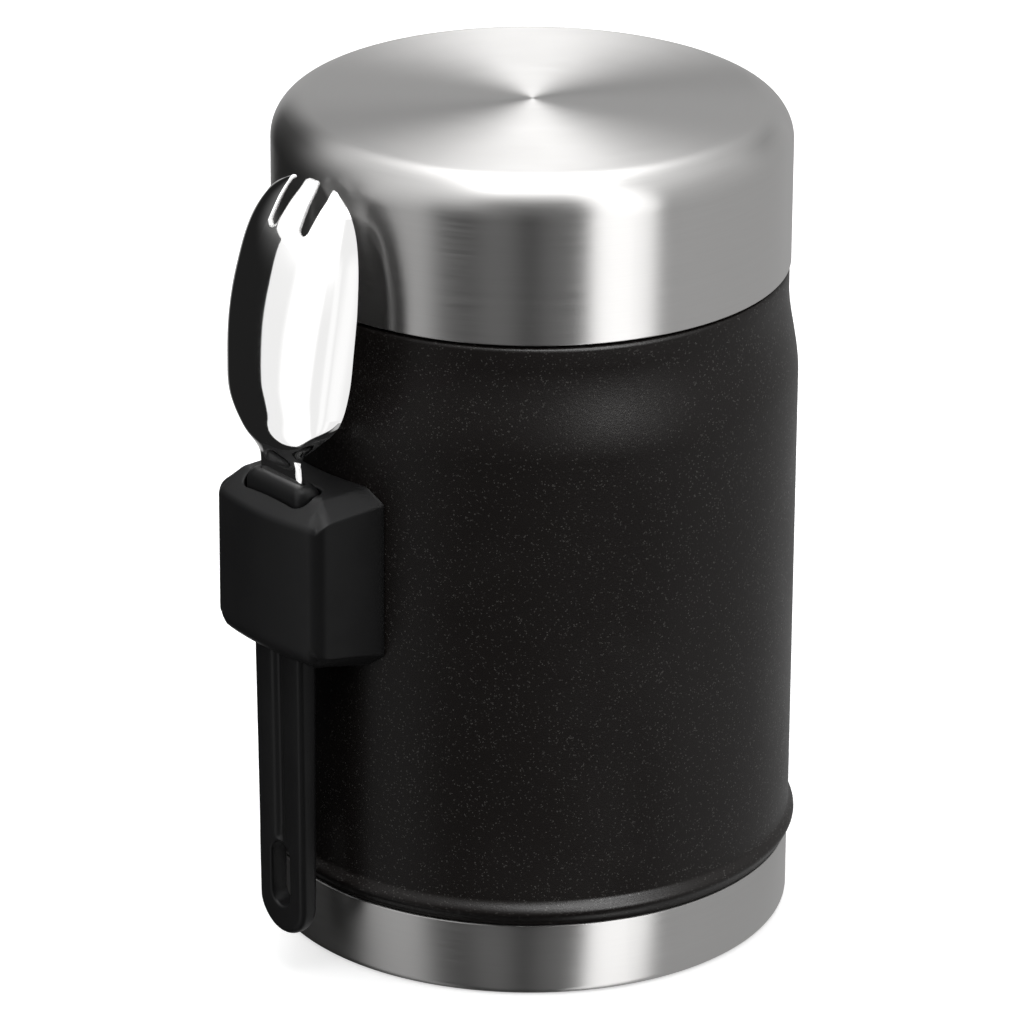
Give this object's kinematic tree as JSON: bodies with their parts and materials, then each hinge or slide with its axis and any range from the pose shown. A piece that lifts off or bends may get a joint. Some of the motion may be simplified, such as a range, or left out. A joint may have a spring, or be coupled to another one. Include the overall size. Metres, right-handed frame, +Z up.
{
  "type": "insulated food jar",
  "caption": "Double-walled steel food jar with a screw-on insulated lid and a spork that slides out of a holder on its side.",
  "frame": {"origin": "on the jar's axis, in the plane of the ring it stands on", "axes": "+Z up along the jar's axis, -X towards the spork holder, -Y to the right of a viewer who faces the holder"},
  "size_m": [0.108, 0.0946, 0.147],
  "materials": {
    "black_powder_coat": "fine-textured black powder coat, satin",
    "brushed_lid": "spun-brushed stainless steel, concentric grain",
    "brushed_base": "brushed stainless steel, grain round the foot",
    "vessel_steel": "satin electropolished stainless steel",
    "bare_steel": "bare rolled stainless steel",
    "sealing_glass": "dark sealing glass",
    "getter_alloy": "sintered grey",
    "copper_foil": "bright copper foil",
    "zinc_steel": "zinc-plated steel",
    "frame_plastic": "moulded black plastic",
    "holder_plastic": "moulded black plastic, fine satin texture",
    "handle_plastic": "moulded black plastic, satin",
    "liner_plastic": "moulded dark grey polypropylene",
    "lid_foam": "rigid foam, pale cream",
    "gasket_silicone": "grey silicone",
    "mirror_steel": "mirror-polished stainless steel"
  },
  "bodies": {
    "jar": {"outer_shell": "black_powder_coat", "inner_vessel": "vessel_steel", "shell_bottom": "bare_steel", "vacuum_seal": "sealing_glass", "getter": "getter_alloy", "getter_clip": "bare_steel", "reflector_foil": "copper_foil", "base_cup": "brushed_base", "weld_studs": "bare_steel", "holder_back": "frame_plastic", "holder_washers": "zinc_steel", "holder_nuts": "zinc_steel", "holder_housing": "holder_plastic"},
    "lid_rise_carrier": {"lid_gasket": "gasket_silicone"},
    "lid": {"lid_shell": "brushed_lid", "lid_liner": "liner_plastic", "lid_insulation": "lid_foam", "plug_cover": "liner_plastic"},
    "spork": {"spork_bowl": "mirror_steel", "spork_handle": "handle_plastic"}
  },
  "joints": [
    {"name": "lid_rise", "type": "slide", "parent": "jar", "child": "lid_rise_carrier", "axis": [0, 0, 1], "range_m": [0, 0.0301]},
    {"name": "lid_turn", "type": "hinge", "parent": "lid_rise_carrier", "child": "lid", "pos_m": [0, 0, 0.13], "axis": [0, 0, 1], "range_deg": [0, 1350]},
    {"name": "spork_slide", "type": "slide", "parent": "jar", "child": "spork", "axis": [0, 0, 1], "range_m": [0, 0.09]}
  ],
  "couplings": [
    {"joint": "lid_rise", "follows": "lid_turn", "m_per_rad": 0.0012732}
  ]
}
